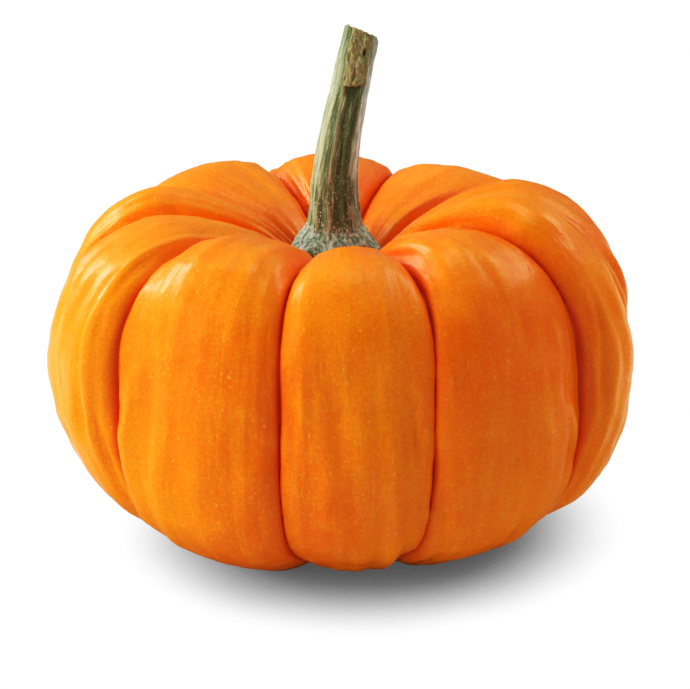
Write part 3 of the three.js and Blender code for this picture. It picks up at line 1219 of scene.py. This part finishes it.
def add_sky(settings):
    """An even white studio: bright behind the pumpkin, dimmer on the camera's side."""
    world = bpy.data.worlds.new("studio")
    world.use_nodes = True
    world.node_tree.nodes.clear()
    graph = Graph(world.node_tree)
    _, north, _ = graph.separate(graph.out(graph.add("ShaderNodeTexCoord"), "Generated"))
    path = graph.add("ShaderNodeLightPath")
    lit = graph.remap(north, -0.3, 0.6, settings.sky_front, settings.sky_back)
    reflected = graph.remap(north, -0.1, 0.7, settings.reflected_front, settings.reflected_back)
    glossy = graph.out(path, "Is Glossy Ray")
    indirect = lit + (reflected - lit) * glossy
    strength = indirect + (STUDIO_WHITE - indirect) * graph.out(path, "Is Camera Ray")
    background = graph.add("ShaderNodeBackground", {"Color": (1.0, 1.0, 1.0, 1.0), "Strength": strength})
    output = graph.add("ShaderNodeOutputWorld")
    graph.feed(output.inputs["Surface"], graph.out(background))
    bpy.context.scene.world = world


def add_camera(settings, target):
    camera = bpy.data.cameras.new("camera")
    camera.lens = settings.camera_lens
    camera.sensor_width = SENSOR_WIDTH
    camera.clip_start, camera.clip_end = CAMERA_CLIP
    elevation = settings.camera_elevation
    back = Vector((0.0, -math.cos(elevation), math.sin(elevation)))
    viewer = bpy.data.objects.new("camera", camera)
    place = target + back * settings.camera_distance
    viewer.matrix_world = looking_matrix(place, target, settings.camera_roll)
    bpy.context.scene.collection.objects.link(viewer)
    bpy.context.scene.camera = viewer


def set_tone(view):
    """A plain view with deep dark tones, as in a studio print."""
    view.view_transform = "Standard"
    view.look = "None"
    view.use_curve_mapping = True
    tone = view.curve_mapping.curves[COMBINED_CURVE]
    for brightness, shown in DARK_TONES:
        tone.points.new(brightness, shown)
    view.curve_mapping.update()


class PUMPKIN_OT_stage(bpy.types.Operator):
    """Set up the pale floor, the soft lights and the camera"""

    bl_idname = "pumpkin.stage"
    bl_label = "Build Stage"

    def execute(self, context):
        settings = context.scene.pumpkin_stage
        middle = fruit_axis(ribbed_fruit_tree()) + Vector(CAMERA_TARGET)
        add_floor(settings)
        add_sky(settings)
        for softbox in SOFTBOXES:
            add_softbox(softbox[0], softbox[1], middle, *softbox[2:])
        add_camera(settings, middle)
        set_tone(context.scene.view_settings)
        return {"FINISHED"}


class PUMPKIN_PT_panel(bpy.types.Panel):
    """Lists the pumpkin's sizes, its colours and the steps that build it"""

    bl_label = "Miniature Pumpkin"
    bl_idname = "PUMPKIN_PT_panel"
    bl_space_type = "VIEW_3D"
    bl_region_type = "UI"
    bl_category = "Pumpkin"

    def draw(self, context):
        groups = (
            (context.scene.pumpkin_fruit, "pumpkin.fruit"),
            (context.scene.pumpkin_stem, "pumpkin.stem"),
            (context.scene.pumpkin_stage, "pumpkin.stage"),
        )
        for settings, operator in groups:
            box = self.layout.box()
            for name in settings.bl_rna.properties.keys():
                if name not in ("rna_type", "name"):
                    box.prop(settings, name)
            box.operator(operator)


CLASSES = (
    PumpkinFruitSettings,
    PumpkinStemSettings,
    PumpkinStageSettings,
    PUMPKIN_OT_fruit,
    PUMPKIN_OT_stem,
    PUMPKIN_OT_stage,
    PUMPKIN_PT_panel,
)
SETTINGS = {
    "pumpkin_fruit": PumpkinFruitSettings,
    "pumpkin_stem": PumpkinStemSettings,
    "pumpkin_stage": PumpkinStageSettings,
}


def register():
    for item in CLASSES:
        bpy.utils.register_class(item)
    for name, group in SETTINGS.items():
        setattr(bpy.types.Scene, name, bpy.props.PointerProperty(type=group))


def unregister():
    for name in SETTINGS:
        delattr(bpy.types.Scene, name)
    for item in reversed(CLASSES):
        bpy.utils.unregister_class(item)


def main():
    register()
    bpy.ops.pumpkin.fruit()
    bpy.ops.pumpkin.stem()
    bpy.ops.pumpkin.stage()


if __name__ == "__main__":
    main()
